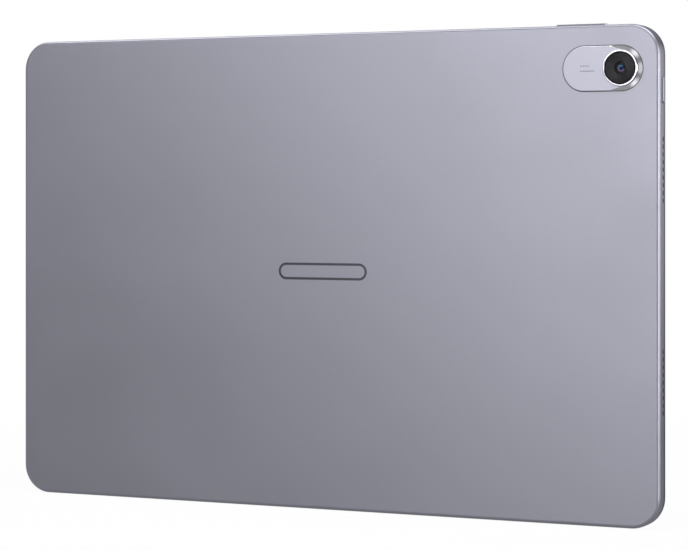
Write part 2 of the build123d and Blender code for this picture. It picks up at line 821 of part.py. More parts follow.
# Folded steel brackets that hold the switches, each with a foot on the back wall.
bracket_front = side_axis - flange_width / 2 + cap_clearance
foot_y = (floor_level - bracket_thickness, floor_level)
with BuildPart() as switch_brackets:
    bracket_z = around(power_z, power_cap_length / 2 + bracket_overlap)
    bracket_back = power_switch_back + bracket_thickness
    block((power_switch_back, bracket_back), (bracket_front, floor_level), bracket_z)
    block((bracket_back, bracket_back + bracket_foot), foot_y, bracket_z)
    bracket_x = around(rocker_x, rocker_cap_length / 2 + bracket_overlap)
    bracket_low = volume_bracket_top - bracket_thickness
    block(bracket_x, (bracket_front, floor_level), (bracket_low, volume_bracket_top))
    block(bracket_x, foot_y, (bracket_low - bracket_foot, bracket_low))
    fulcrum_top = rocker_pivot_z - rocker_nub_radius - nub_clearance
    block(
        around(rocker_x, fulcrum_half_width),
        around(side_axis, cap_width / 2),
        (volume_bracket_top, fulcrum_top),
    )
save(switch_brackets, "switch_brackets")

# ================================================================ USB-C receptacle
def usb_slot(width, height):
    """Rounded section of the receptacle, in a plane across X."""
    with Locations((usb_axis, mid_height)):
        SlotOverall(width, height, rotation=90)


with BuildPart() as usb_shell:
    with BuildSketch(Plane.YZ.offset(usb_end)):
        usb_slot(usb_width, usb_height)
    extrude(amount=usb_shell_length)
    with BuildSketch(Plane.YZ.offset(usb_end)):
        usb_slot(usb_width - 2 * usb_shell_wall, usb_height - 2 * usb_shell_wall)
    extrude(amount=usb_shell_length, mode=Mode.SUBTRACT)
save(usb_shell, "usb_shell")

with BuildPart() as usb_tongue:
    with BuildSketch(Plane.YZ.offset(usb_end)):
        usb_slot(usb_width - 2 * usb_shell_wall, usb_height - 2 * usb_shell_wall)
    extrude(amount=usb_block_length)
    block(
        (usb_end + usb_block_length, usb_mouth - usb_tongue_setback),
        around(usb_axis, usb_tongue_thickness / 2),
        around(mid_height, usb_tongue_width / 2),
    )
save(usb_tongue, "usb_tongue")

# Contact strips on both sides of the tongue.
contact_end = usb_mouth - usb_tongue_setback - contact_setback
with BuildPart() as usb_contacts:
    for side in (-1, 1):
        for index in range(contact_count):
            block(
                (contact_end - contact_length, contact_end),
                [
                    usb_axis + side * usb_tongue_thickness / 2,
                    usb_axis + side * (usb_tongue_thickness / 2 + contact_thickness),
                ],
                around(
                    mid_height + (index - (contact_count - 1) / 2) * contact_pitch, contact_width / 2
                ),
            )
save(usb_contacts, "usb_contacts")

# Rubber gasket that seals the shell against the inside of the wall.
with BuildPart() as usb_gasket:
    with BuildSketch(Plane.YZ.offset(inner_end - usb_gasket_thickness)):
        usb_slot(usb_width + 2 * usb_gasket_band, usb_height + 2 * usb_gasket_band)
    extrude(amount=usb_gasket_thickness)
    with BuildSketch(Plane.YZ.offset(inner_end - usb_gasket_thickness)):
        usb_slot(usb_width, usb_height)
    extrude(amount=usb_gasket_thickness, mode=Mode.SUBTRACT)
save(usb_gasket, "usb_gasket")

# ================================================================ loudspeakers
duct_front = box_front - duct_front_rise
opening_y = around(side_axis, slot_width / 2 + mesh_margin)
opening_half = slot_group_length / 2 + mesh_margin


def inward(end, near, far):
    """Two X values measured in from the inner face of an end wall."""
    return (end * (inner_end - near), end * (inner_end - far))


def speaker_enclosure(end, middle):
    """Box with a sound duct to the wall, a front chamber, and a baffle open for the driver."""
    with BuildPart() as enclosure:
        z = around(middle, speaker_length / 2)
        inner_z = around(middle, speaker_length / 2 - speaker_wall)
        reach = duct_reach - speaker_wall
        block(inward(end, mesh_thickness, speaker_depth_x), (box_front, floor_level), z)
        block(inward(end, mesh_thickness, duct_reach), (duct_front, box_front), z)
        near = mesh_thickness + speaker_wall
        far = speaker_depth_x - speaker_wall
        chamber = (chamber_front, baffle_front)
        block(inward(end, near, far), chamber, inner_z, Mode.SUBTRACT)
        duct = (duct_front + speaker_wall, chamber_front)
        block(inward(end, near, reach), duct, inner_z, Mode.SUBTRACT)
        back_chamber = (baffle_back, floor_level - speaker_wall)
        block(inward(end, near, far), back_chamber, inner_z, Mode.SUBTRACT)
        block(
            inward(
                end,
                diaphragm_inset - diaphragm_gap,
                diaphragm_inset + diaphragm_width + diaphragm_gap,
            ),
            (baffle_front, baffle_back),
            around(middle, diaphragm_length / 2 + diaphragm_gap),
            Mode.SUBTRACT,
        )
        opening_z = around(middle, opening_half)
        block(inward(end, mesh_thickness, near), opening_y, opening_z, Mode.SUBTRACT)
    return enclosure


diaphragm_y = (
    baffle_front + diaphragm_recess,
    baffle_front + diaphragm_recess + diaphragm_thickness,
)


def speaker_diaphragm(end, middle):
    """Flat diaphragm with its voice coil behind it."""
    with BuildPart() as diaphragm:
        far = diaphragm_inset + diaphragm_width
        block(
            inward(end, diaphragm_inset, far), diaphragm_y, around(middle, diaphragm_length / 2)
        )
        coil_y = (diaphragm_y[1], diaphragm_y[1] + voice_coil_depth)
        for inset, mode in ((coil_inset, Mode.ADD), (coil_inset + voice_coil_wall, Mode.SUBTRACT)):
            block(
                inward(end, diaphragm_inset + inset, far - inset),
                coil_y,
                around(middle, diaphragm_length / 2 - inset),
                mode,
            )
    return diaphragm


end_names = {-1: "left", 1: "right"}
for end, end_name in end_names.items():
    for level_name, middle in speaker_heights.items():
        save(speaker_enclosure(end, middle), f"speaker_enclosure_{end_name}_{level_name}")
        save(speaker_diaphragm(end, middle), f"speaker_diaphragm_{end_name}_{level_name}")

# Magnet inside each voice coil, on the floor of its enclosure.
magnet_inset = coil_inset + voice_coil_wall + speaker_magnet_gap
with BuildPart() as speaker_magnets:
    for end in end_names:
        for middle in speaker_heights.values():
            block(
                inward(
                    end,
                    diaphragm_inset + magnet_inset,
                    diaphragm_inset + diaphragm_width - magnet_inset,
                ),
                (floor_level - speaker_wall - speaker_magnet_depth, floor_level - speaker_wall),
                around(middle, diaphragm_length / 2 - magnet_inset),
            )
save(speaker_magnets, "speaker_magnets")

# Fine mesh between each enclosure and the sound slots.
with BuildPart() as speaker_meshes:
    for end in end_names:
        for middle in speaker_heights.values():
            block(inward(end, 0, mesh_thickness), opening_y, around(middle, opening_half))
save(speaker_meshes, "speaker_meshes")

# ================================================================ battery
cell_y = (inner_front, floor_level - tape_thickness)
cell_z = {
    "upper": (mid_height + cell_gap / 2, body_height - battery_band),
    "lower": (battery_band, mid_height - cell_gap / 2),
}
for level_name, z in cell_z.items():
    with BuildPart() as battery_cell:
        block((battery_left, battery_right), cell_y, z)
        fillet(battery_cell.edges().filter_by(Axis.X), cell_fillet)
    save(battery_cell, f"battery_cell_{level_name}")

# Stretch-release tape strips under the cells.
with BuildPart() as battery_tape:
    for z in cell_z.values():
        for share in (0.25, 0.75):
            middle = battery_left + share * (battery_right - battery_left)
            block(around(middle, tape_width / 2), (floor_level - tape_thickness, floor_level), z)
save(battery_tape, "battery_tape")

# Protection board across the ends of both cells, with a tab to its connector on the main board.
power_connector_z = (
    mainboard_bottom + power_connector_rise,
    mainboard_bottom + power_connector_rise + power_connector_height,
)
battery_board_front = connector_front + battery_board_gap
power_tab_front = connector_front - power_tab_proud
power_tab_y = (power_tab_front, power_tab_front + power_tab_thickness)
with BuildPart() as battery_board:
    block(
        (battery_left - battery_board_width, battery_left),
        (battery_board_front, battery_board_front + battery_board_thickness),
        (mainboard_bottom + battery_board_margins[0], mainboard_top - battery_board_margins[1]),
    )
    block(
        (
            mainboard_right - power_connector_ends[0],
            battery_left - battery_board_width + power_tab_lap,
        ),
        power_tab_y,
        power_connector_z,
    )
save(battery_board, "battery_board")

# ================================================================ main board
def drilled(places):
    """Screw clearance holes through a board, along Y."""
    with BuildSketch(facing(floor_level)) as holes:
        with Locations(places):
            Circle(screw_radius + screw_clearance)
    extrude(holes.sketch, amount=body_thickness, mode=Mode.SUBTRACT)


with BuildPart() as mainboard:
    block(
        (mainboard_left, mainboard_right), (board_front, board_back), (mainboard_bottom, mainboard_top)
    )
    drilled(board_screw_places)
save(mainboard, "mainboard")

can_x = (mainboard_left + can_inset, mainboard_right - can_inset)
with BuildPart() as shield_cans:
    for z in (processor_can, radio_can):
        block(can_x, (board_front - can_height, board_front), z)
        block(
            (can_x[0] + can_wall, can_x[1] - can_wall),
            (board_front - can_height + can_wall, board_front),
            (z[0] + can_wall, z[1] - can_wall),
            Mode.SUBTRACT,
        )
save(shield_cans, "shield_cans")

chip_y = (board_front - chip_height, board_front)
with BuildPart() as processor_chip:
    block(
        around(mainboard_middle + processor_shift, processor_size / 2),
        chip_y,
        around(processor_can[1] - processor_drop, processor_size / 2),
    )
save(processor_chip, "processor_chip")

# Memory and storage packages beside the processor, and the radio package under its own can.
with BuildPart() as board_chips:
    for x, z in (
        (mainboard_middle + memory_shift, processor_can[1] - memory_drops[0]),
        (mainboard_middle + memory_shift, processor_can[1] - memory_drops[1]),
        (mainboard_middle, sum(radio_can) / 2),
    ):
        block(around(x, chip_length / 2), chip_y, around(z, chip_width / 2))
save(board_chips, "board_chips")

with BuildPart() as graphite_sheet:
    can_front = board_front - can_height
    block(
        (can_x[0] + can_inset, can_x[1] - can_inset),
        (can_front - graphite_thickness, can_front),
        (radio_can[0] + can_inset, processor_can[1] - can_inset),
    )
save(graphite_sheet, "graphite_sheet")

# Connectors on the two boards.
main_flex_z = around(mid_height, main_flex_width / 2)
main_connector_x = [mainboard_right - inset for inset in flex_connector_ends]
power_connector_x = [mainboard_right - inset for inset in power_connector_ends]
lead_connector_x = [mainboard_right - inset for inset in lead_connector_ends]
usb_connector_x = [usb_board_left + inset for inset in usb_connector_ends]
display_cable_x = display_board_left + display_cable_offset
display_connector_z = (
    mainboard_bottom + display_connector_rise,
    mainboard_bottom + display_connector_rise + display_connector_size[1],
)
antenna_exits = [mainboard_top - drop for drop in lead_connector_drops]
with BuildPart() as board_connectors:
    board_y = (connector_front, board_front)
    block(main_connector_x, board_y, main_flex_z)
    block(power_connector_x, (power_tab_y[1], board_front), power_connector_z)
    block(around(display_cable_x, display_connector_size[0] / 2), board_y, display_connector_z)
    for z in antenna_exits:
        block(lead_connector_x, board_y, around(z, lead_connector_height / 2))
    block(usb_connector_x, (usb_connector_front, usb_board_front), main_flex_z)
save(board_connectors, "board_connectors")

# Pan-head screws that hold both boards to the housing's bosses.
with BuildPart() as board_screws:
    for places, level in ((board_screw_places, board_front), (usb_screw_places, usb_board_front)):
        for x, z in places:
            disc(x, z, screw_head_radius, (level - screw_head_height, level))
            disc(x, z, screw_radius - screw_shank_gap, (level, floor_level))
save(board_screws, "board_screws")

# ================================================================ USB board and wiring
with BuildPart() as usb_board:
    block(
        (usb_board_left, usb_board_right),
        (usb_board_front, usb_board_back),
        around(mid_height, usb_board_width / 2),
    )
    drilled(usb_screw_places)
save(usb_board, "usb_board")

# Flex from the main board to the USB board, between the two cells.
flex_left = connector_front - flex_thickness
flex_right = usb_connector_front - flex_thickness
with BuildPart() as main_flex:
    with BuildSketch(Plane.XY.offset(main_flex_z[0])):
        with BuildLine():
            Polyline(
                (main_connector_x[0], flex_left),
                (battery_right - flex_ramp, flex_left),
                (battery_right, flex_right),
                (usb_connector_x[1], flex_right),
                (usb_connector_x[1], flex_right + flex_thickness),
                (battery_right, flex_right + flex_thickness),
                (battery_right - flex_ramp, flex_left + flex_thickness),
                (main_connector_x[0], flex_left + flex_thickness),
                close=True,
            )
        make_face()
    extrude(amount=main_flex_width)
save(main_flex, "main_flex")

# Flex from the display's driver board up to its connector on the main board.
cable_x = around(display_cable_x, display_cable_width / 2)
with BuildPart() as display_cable:
    with BuildSketch(Plane.YZ.offset(cable_x[0])):
        with BuildLine():
            top = display_board_z[1]
            step = display_board_y[1]
            Polyline(
                (step, top - display_cable_lap),
                (step, top),
                (flex_left, top + display_cable_ramp),
                (flex_left, display_connector_z[1]),
                (flex_left + flex_thickness, display_connector_z[1]),
                (flex_left + flex_thickness, top + display_cable_ramp),
                (step + flex_thickness, top),
                (step + flex_thickness, top - display_cable_lap),
                close=True,
            )
        make_face()
    extrude(amount=cable_x[1] - cable_x[0])
save(display_cable, "display_cable")

# ================================================================ small parts along the top
camera_front = ledge_level + front_camera_seat
with BuildPart() as front_camera:
    block(
        around(0, front_camera_width / 2),
        (camera_front, ledge_level + front_camera_depth),
        around(front_camera_z, front_camera_height / 2),
    )
    disc(0, front_camera_z, front_lens_radius, (shelf_front + front_lens_gap, camera_front))
save(front_camera, "front_camera")

with BuildPart() as light_sensor:
    length, depth, height = light_sensor_size
    block(
        around(light_sensor_offset, length / 2),
        (glass_back, glass_back + depth),
        around(front_camera_z, height / 2),
    )
save(light_sensor, "light_sensor")

with BuildPart() as microphones:
    length, width, height = microphone_size
    for x in microphone_offsets:
        block(
            around(x, length / 2), around(side_axis, width / 2), (inner_top - height, inner_top)
        )
save(microphones, "microphones")

antenna_z = (inner_top - antenna_gap - antenna_height, inner_top - antenna_gap)
with BuildPart() as antennas:
    for start in antenna_starts:
        block((start, start + antenna_length), (ledge_level, ledge_level + antenna_depth), antenna_z)
save(antennas, "antennas")

# Thin coaxial leads from the main board to the two antennas.
lead_level = board_front - cable_radius - cable_board_gap
lead_start = lead_connector_x[1]
antenna_middle = sum(antenna_z) / 2
lead_routes = (
    (
        (lead_start, antenna_exits[0]),
        (mainboard_right + 3.0, antenna_exits[0]),
        (mainboard_right + 5.0, antenna_middle),
        (antenna_starts[0], antenna_middle),
    ),
    (
        (lead_start, antenna_exits[1]),
        (-50.0, antenna_exits[1]),
        (-20.0, antenna_exits[1] + 4.0),
        (12.0, antenna_exits[1] + 1.5),
        (34.0, antenna_exits[1] + 6.0),
        (40.0, antenna_middle),
        (antenna_starts[1], antenna_middle),
    ),
)
lead_radii = ((3.0, 3.0), (25.0, 30.0, 25.0, 4.0, 3.0))
with BuildPart() as antenna_leads:
    for route, radii in zip(lead_routes, lead_radii):
        with BuildLine(facing(lead_level)) as lead:
            FilletPolyline(*route, radius=list(radii))
        with BuildSketch(Plane(lead.line @ 0, z_dir=lead.line % 0)):
            Circle(cable_radius)
        sweep(path=lead.line)
save(antenna_leads, "antenna_leads")

# Magnets along the bottom that hold a keyboard cover.
length, depth, height = keyboard_magnet
magnet_pitch = 2 * (inner_end - 2 * length) / (magnet_count - 1)
with BuildPart() as keyboard_magnets:
    for index in range(magnet_count):
        block(
            around((index - (magnet_count - 1) / 2) * magnet_pitch, length / 2),
            (floor_level - depth, floor_level),
            (keyboard_magnet_rise, keyboard_magnet_rise + height),
        )
save(keyboard_magnets, "keyboard_magnets")
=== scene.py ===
import json
import math

import bpy
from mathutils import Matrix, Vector


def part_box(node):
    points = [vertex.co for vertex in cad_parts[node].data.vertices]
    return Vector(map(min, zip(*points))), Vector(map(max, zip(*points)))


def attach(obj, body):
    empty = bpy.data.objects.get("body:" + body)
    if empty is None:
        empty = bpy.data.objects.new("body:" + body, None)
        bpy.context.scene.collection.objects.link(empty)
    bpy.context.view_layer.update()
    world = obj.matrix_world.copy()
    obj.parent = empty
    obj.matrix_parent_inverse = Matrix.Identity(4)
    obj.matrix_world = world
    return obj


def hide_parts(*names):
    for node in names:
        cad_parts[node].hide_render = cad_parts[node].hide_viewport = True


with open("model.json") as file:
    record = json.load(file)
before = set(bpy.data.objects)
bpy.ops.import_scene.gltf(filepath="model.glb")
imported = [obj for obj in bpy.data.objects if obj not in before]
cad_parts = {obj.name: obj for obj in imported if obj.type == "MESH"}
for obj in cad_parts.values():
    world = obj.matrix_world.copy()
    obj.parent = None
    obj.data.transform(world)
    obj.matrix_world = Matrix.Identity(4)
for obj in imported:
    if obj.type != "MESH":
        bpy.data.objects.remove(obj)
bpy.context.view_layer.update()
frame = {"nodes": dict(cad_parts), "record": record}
MM = 0.001
WHITE = (1, 1, 1, 1)
NOISE_LOW, NOISE_HIGH = 0.3, 0.7  # most values of a noise pattern lie between these


# ---------------------------------------------------------------- materials
def linear(*levels):
    """Linear light of a colour given as it looks on a screen, 0 to 255."""
    return tuple(
        v / 255 / 12.92 if v <= 10 else ((v / 255 + 0.055) / 1.055) ** 2.4 for v in levels
    )


def shade(colour, factor):
    """A colour times a factor, with no part above 1."""
    return tuple(min(1.0, c * factor) for c in colour)


def set_range(map_range, start, end, low, high):
    """Make a Map Range node turn start to end into low to high."""
    for socket, value in zip(map_range.inputs[1:5], (start, end, low, high)):
        socket.default_value = value


class Finish:
    """A node material round one Principled shader. Its patterns lie in object coordinates, in metres."""

    def __init__(self, name, colour, rough, metal=0.0, **sockets):
        self.material = bpy.data.materials.new(name)
        self.material.use_nodes = True
        self.tree = self.material.node_tree
        self.shader = self.tree.nodes["Principled BSDF"]
        self.colour, self.rough = colour, rough
        self.put("Base Color", (*colour, 1.0))
        self.put("Roughness", rough)
        self.put("Metallic", metal)
        for socket, value in sockets.items():
            self.put(socket.replace("_", " "), value)
        self.coords = self.node("TexCoord").outputs["Object"]
        self.height = None

    def node(self, kind, **values):
        made = self.tree.nodes.new("ShaderNode" + kind)
        for key, value in values.items():
            setattr(made, key, value)
        return made

    def join(self, a, b):
        self.tree.links.new(a, b)
        return b

    def put(self, socket, value):
        self.shader.inputs[socket].default_value = value

    def place(self, axis):
        """One coordinate of the surface point, in metres."""
        made = self.node("SeparateXYZ")
        self.join(self.coords, made.inputs["Vector"])
        return made.outputs[axis]

    def noise(self, pitch, detail=2.0, stretch=None):
        """Noise of a pitch in millimetres."""
        made = self.node("TexNoise")
        made.inputs["Scale"].default_value = 1.0 / (pitch * MM)
        made.inputs["Detail"].default_value = detail
        source = self.coords
        if stretch:
            turned = self.node("Mapping")
            turned.inputs["Scale"].default_value = stretch
            self.join(source, turned.inputs["Vector"])
            source = turned.outputs["Vector"]
        self.join(source, made.inputs["Vector"])
        return made.outputs["Fac"]

    def maths(self, operation, a, b=None, c=None, clamp=False):
        made = self.node("Math", operation=operation, use_clamp=clamp)
        for socket, value in zip(made.inputs, (a, b, c)):
            if isinstance(value, (int, float)):
                socket.default_value = value
            elif value is not None:
                self.join(value, socket)
        return made.outputs["Value"]

    def radius(self, x, z):
        """Distance from a line along Y, in metres."""
        dx = self.maths("SUBTRACT", self.place("X"), x)
        dz = self.maths("SUBTRACT", self.place("Z"), z)
        squares = self.maths("ADD", self.maths("MULTIPLY", dx, dx), self.maths("MULTIPLY", dz, dz))
        return self.maths("SQRT", squares)

    def map_range(self, value, start, end, low, high):
        """A value turned from the range start to end into the range low to high."""
        made = self.node("MapRange")
        set_range(made, start, end, low, high)
        self.join(value, made.inputs["Value"])
        return made.outputs["Result"]

    def ramp(self, factor, stops):
        made = self.node("ValToRGB")
        for element, (place, colour) in zip(made.color_ramp.elements, stops):
            element.position = place
            element.color = (*colour, 1.0)
        self.join(factor, made.inputs["Fac"])
        return made.outputs["Color"]

    def mix(self, factor, a, b):
        made = self.node("Mix", data_type="RGBA")
        for socket, value in ((made.inputs[6], a), (made.inputs[7], b)):
            if isinstance(value, tuple):
                socket.default_value = (*value, 1.0)
            else:
                self.join(value, socket)
        self.join(factor, made.inputs[0])
        return made.outputs[2]

    def tone(self, factor, amount):
        """Base colour that goes a share lighter and darker with a pattern."""
        dark, light = shade(self.colour, 1 - amount), shade(self.colour, 1 + amount)
        pattern = self.ramp(factor, [(NOISE_LOW, dark), (NOISE_HIGH, light)])
        self.join(pattern, self.shader.inputs["Base Color"])
        return self

    def over(self, factor, colour):
        """Another colour laid over the patterned base colour, fully where the factor is 1."""
        target = self.shader.inputs["Base Color"]
        self.join(self.mix(factor, target.links[0].from_socket, colour), target)
        return self

    def wear(self, factor, amount):
        """Roughness that changes with a pattern."""
        low, high = max(0.02, self.rough - amount), self.rough + amount
        worn = self.map_range(factor, NOISE_LOW, NOISE_HIGH, low, high)
        self.join(worn, self.shader.inputs["Roughness"])
        return self

    def bump(self, factor, depth):
        """Relief of a depth in millimetres. Several stack."""
        made = self.node("Bump")
        made.inputs["Distance"].default_value = depth * MM
        made.inputs["Strength"].default_value = 1.0
        self.join(factor, made.inputs["Height"])
        if self.height is not None:
            self.join(self.height, made.inputs["Normal"])
        self.height = made.outputs["Normal"]
        self.join(self.height, self.shader.inputs["Normal"])
        return self

    def grain(self, pitch, depth, tone=0.0, wear=0.0, stretch=None):
        """Fine surface texture of a pitch and depth in millimetres."""
        factor = self.noise(pitch, stretch=stretch)
        if depth:
            self.bump(factor, depth)
        if tone:
            self.tone(factor, tone)
        if wear:
            self.wear(factor, wear)
        return self


def make_clear(finish, ior):
    """Thin clear glass: straight through, with a mirror share that grows at a glancing angle."""
    end = next(n for n in finish.tree.nodes if n.type == "OUTPUT_MATERIAL")
    through, gloss = finish.node("BsdfTransparent"), finish.node("BsdfGlossy")
    gloss.inputs["Roughness"].default_value = 0.02
    fresnel, blend = finish.node("Fresnel"), finish.node("MixShader")
    fresnel.inputs["IOR"].default_value = ior
    finish.join(fresnel.outputs[0], blend.inputs[0])
    finish.join(through.outputs[0], blend.inputs[1])
    finish.join(gloss.outputs[0], blend.inputs[2])
    finish.join(blend.outputs[0], end.inputs["Surface"])


SHELL = linear(170, 170, 183)
SHELL_BRIGHT = linear(214, 213, 222)
POLISHED = linear(232, 231, 238)
BLACK = linear(14, 14, 15)
STEEL = linear(186, 184, 180)
GOLD = linear(214, 176, 104)

finishes = {}


def add(slot, finish):
    """Keep a finish as the look of one of the record's material slots."""
    finishes[slot] = finish.material
    return finish


# Painted shade: the housing's side walls darken between these levels along Y, in millimetres, towards the
# screen.
SIDE_SHADE_START, SIDE_SHADE_END = -0.3, -2.9
SIDE_SHADE_SHARE, SIDE_SHADE_DARKEST = 0.9, 0.05
shell = add("anodised_shell", Finish("satin_anodised", SHELL, 0.4, metal=0.8))
shell.tone(shell.noise(0.16, detail=3.0), 0.035).wear(shell.noise(35.0, detail=3.0), 0.02)
shell.bump(shell.noise(0.12), 0.0016)
# Painted shade laid over the shell's colour, deepest at the screen side.
painted_side_shade = shell.map_range(
    shell.place("Y"), SIDE_SHADE_START * MM, SIDE_SHADE_END * MM, 0.0, SIDE_SHADE_SHARE
)
shell.over(painted_side_shade, shade(SHELL, SIDE_SHADE_DARKEST))

add("polished_ring", Finish("polished_metal", SHELL_BRIGHT, 0.16, metal=1.0)).grain(
    0.05, 0.0006, tone=0.03, wear=0.03
)
add("camera_glass", Finish("glass_core", linear(230, 236, 240), 0.02, Transmission_Weight=1.0)).grain(
    2.0, 0.0, wear=0.01
)
add("spun_black", Finish("spun_metal", linear(52, 52, 57), 0.34, metal=0.9)).grain(
    0.08, 0.002, tone=0.2
)
add("black_plastic", Finish("black_plastic", BLACK, 0.45)).grain(0.1, 0.004, tone=0.25, wear=0.06)
add("lens_glass", Finish("coated_lens", linear(16, 20, 34), 0.05, Coat_Weight=1.0)).grain(
    0.6, 0.0, tone=0.3
)
add("frame_plastic", Finish("frame_plastic", linear(26, 26, 28), 0.5)).grain(
    0.14, 0.004, tone=0.2, wear=0.05
)
add("foam", Finish("foam", linear(38, 38, 40), 0.95)).grain(0.12, 0.03, tone=0.4)
add("screen_glass", Finish("glass_black", linear(9, 9, 11), 0.05, Coat_Weight=1.0)).grain(
    30.0, 0.0, tone=0.2, wear=0.01
)
add("panel_glass", Finish("panel_dark", linear(17, 18, 22), 0.16, Coat_Weight=0.6)).grain(
    0.1, 0.0, tone=0.25, wear=0.02
)
add("film", Finish("prism_film", linear(226, 228, 230), 0.32, Sheen_Weight=0.2)).grain(
    0.05, 0.002, tone=0.03, stretch=(1, 1, 30)
)
add("light_guide", Finish("acrylic_guide", linear(212, 222, 226), 0.08, Transmission_Weight=0.6)).grain(
    0.3, 0.001, tone=0.04
)
add("bare_steel", Finish("bare_steel", STEEL, 0.26, metal=1.0)).grain(
    0.09, 0.0015, tone=0.06, wear=0.06, stretch=(0.06, 1, 1)
)
add("led", Finish("led_package", linear(238, 232, 190), 0.4)).grain(0.2, 0.002, tone=0.06)
board = add("circuit_board", Finish("circuit_board", linear(18, 46, 40), 0.36, Coat_Weight=0.4))
board.tone(board.noise(0.7, detail=4.0, stretch=(1, 1, 0.2)), 0.5)
board.bump(board.noise(0.9, detail=3.0, stretch=(0.2, 1, 1)), 0.02)
add("flex", Finish("polyimide_flex", linear(160, 92, 30), 0.3, Coat_Weight=0.3)).grain(
    0.35, 0.006, tone=0.14, stretch=(0.05, 1, 1)
)
add("chip", Finish("chip_package", linear(28, 29, 31), 0.42)).grain(0.06, 0.003, tone=0.2, wear=0.05)
add("graphite", Finish("graphite_sheet", linear(46, 46, 48), 0.38, metal=0.35)).grain(
    0.8, 0.01, tone=0.25, wear=0.08
)
add("battery_foil", Finish("battery_foil", linear(46, 47, 50), 0.48, metal=0.2)).grain(
    3.0, 0.06, tone=0.12, wear=0.08
)
add("tape", Finish("tape", linear(228, 228, 224), 0.55)).grain(0.5, 0.01, tone=0.04)
add("copper", Finish("wound_copper", linear(184, 106, 66), 0.3, metal=1.0)).grain(
    0.08, 0.02, tone=0.15, stretch=(0.1, 1, 0.1)
)
add("gold_contact", Finish("gold_plate", GOLD, 0.2, metal=1.0)).grain(0.05, 0.001, tone=0.05, wear=0.04)
add("magnet", Finish("nickel_magnet", linear(196, 196, 192), 0.24, metal=1.0)).grain(
    0.2, 0.002, tone=0.05, wear=0.06
)
add("speaker_box", Finish("speaker_plastic", linear(30, 30, 32), 0.55)).grain(0.16, 0.008, tone=0.2)
add("diaphragm", Finish("diaphragm_film", linear(64, 66, 70), 0.3, Sheen_Weight=0.3)).grain(
    0.3, 0.006, tone=0.1
)
add("mesh", Finish("acoustic_mesh", linear(24, 24, 26), 0.5, metal=0.5)).grain(0.06, 0.004, tone=0.3)
add("gasket_rubber", Finish("rubber", linear(24, 24, 24), 0.8)).grain(0.12, 0.01, tone=0.2)
add("antenna_plastic", Finish("antenna_carrier", linear(206, 204, 196), 0.5)).grain(
    0.2, 0.006, tone=0.05
)
add("lead_jacket", Finish("lead_jacket", linear(34, 34, 36), 0.5)).grain(0.15, 0.006, tone=0.2)

for row in frame["record"]["subparts"]:
    for holder in frame["nodes"][row["node"]].material_slots:
        holder.material = finishes[row["material_slot"]]


def plate_metal():
    """Camera plate: satin where it faces straight back, polished where it leans, as on its cone."""
    made = Finish("plate_metal", shade(SHELL, 1.05), 0.36, metal=0.85)
    facing = made.node("SeparateXYZ")
    made.join(made.node("NewGeometry").outputs["Normal"], facing.inputs["Vector"])
    leaning = made.map_range(facing.outputs["Y"], 0.985, 0.955, 0.0, 1.0)
    made.tone(made.noise(0.16, detail=3.0), 0.04).over(leaning, POLISHED)
    smoother = made.maths("MULTIPLY_ADD", leaning, -0.18, made.rough)
    made.join(smoother, made.shader.inputs["Roughness"])
    return made


def rocker_painted_shade_highlight():
    """Volume rocker: the shell's metal darkened by painted shade, with a painted highlight towards both
    ends of the cap.
    """
    # Painted highlight: the cap turns bright between these distances from its middle.
    highlight_start, highlight_end = 8.5 * MM, 9.2 * MM
    # Painted shade: a darker copy of the shell's colour for the whole cap.
    made = Finish("rocker_painted_shade_highlight", shade(SHELL, 0.42), 0.3, metal=0.9)
    made.grain(0.14, 0.0016, tone=0.05, wear=0.04)
    low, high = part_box("volume_rocker")
    from_middle = made.maths("SUBTRACT", made.place("X"), (low[0] + high[0]) / 2)
    distance = made.maths("ABSOLUTE", from_middle)
    return made.over(made.map_range(distance, highlight_start, highlight_end, 0.0, 1.0), SHELL_BRIGHT)


frame["nodes"]["camera_plate"].material_slots[0].material = plate_metal().material
frame["nodes"]["volume_rocker"].material_slots[0].material = rocker_painted_shade_highlight().material

# Painted shade: a dark finish for bands that stand for the shadow in the gaps round the camera ring and
# plate.
gap_shade = Finish("painted_gap_shade", linear(40, 40, 46), 0.5).grain(0.1, 0.002, tone=0.2)
printed = Finish("printed_black", linear(6, 6, 7), 0.3, Specular_IOR_Level=0.03)
printed.grain(0.2, 0.0, tone=0.2)
ink = Finish("etched_grey", linear(92, 92, 100), 0.3, metal=0.9).grain(0.2, 0.001, tone=0.08)
faint = Finish("etched_light", linear(104, 104, 112), 0.4, metal=0.8).grain(0.2, 0.001, tone=0.08)


# ---------------------------------------------------------------- mesh helpers
def piece(name, points, faces, body, slot, material, stands_for=(), smooth=35.0):
    """Mesh piece riding on a body. Points are in millimetres, the sharp-edge angle in degrees."""
    mesh = bpy.data.meshes.new(name)
    mesh.from_pydata([Vector(p) * MM for p in points], [], faces)
    mesh.validate()
    mesh.update()
    made = bpy.data.objects.new(name, mesh)
    bpy.context.scene.collection.objects.link(made)
    mesh.materials.append(material)
    mesh.polygons.foreach_set("use_smooth", [True] * len(mesh.polygons))
    mesh.set_sharp_from_angle(angle=math.radians(smooth))
    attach(made, body)
    if stands_for:
        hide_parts(*stands_for)
    return made


def lathe_mesh(profile, x, z, steps):
    """Points and faces of a closed (radius, y) profile turned about a line along Y."""
    points, rows = [], []
    for radius, y in profile:
        if radius < 1e-6:
            rows.append([len(points)] * steps)
            points.append((x, y, z))
            continue
        rows.append(list(range(len(points), len(points) + steps)))
        for k in range(steps):
            angle = 2 * math.pi * k / steps
            points.append((x + radius * math.cos(angle), y, z + radius * math.sin(angle)))
    faces = []
    for a, b in zip(rows, rows[1:] + rows[:1]):
        for k in range(steps):
            n = (k + 1) % steps
            corners = []
            for corner in (a[k], a[n], b[n], b[k]):
                if corner not in corners:
                    corners.append(corner)
            if len(corners) > 2:
                faces.append(corners)
    return points, faces


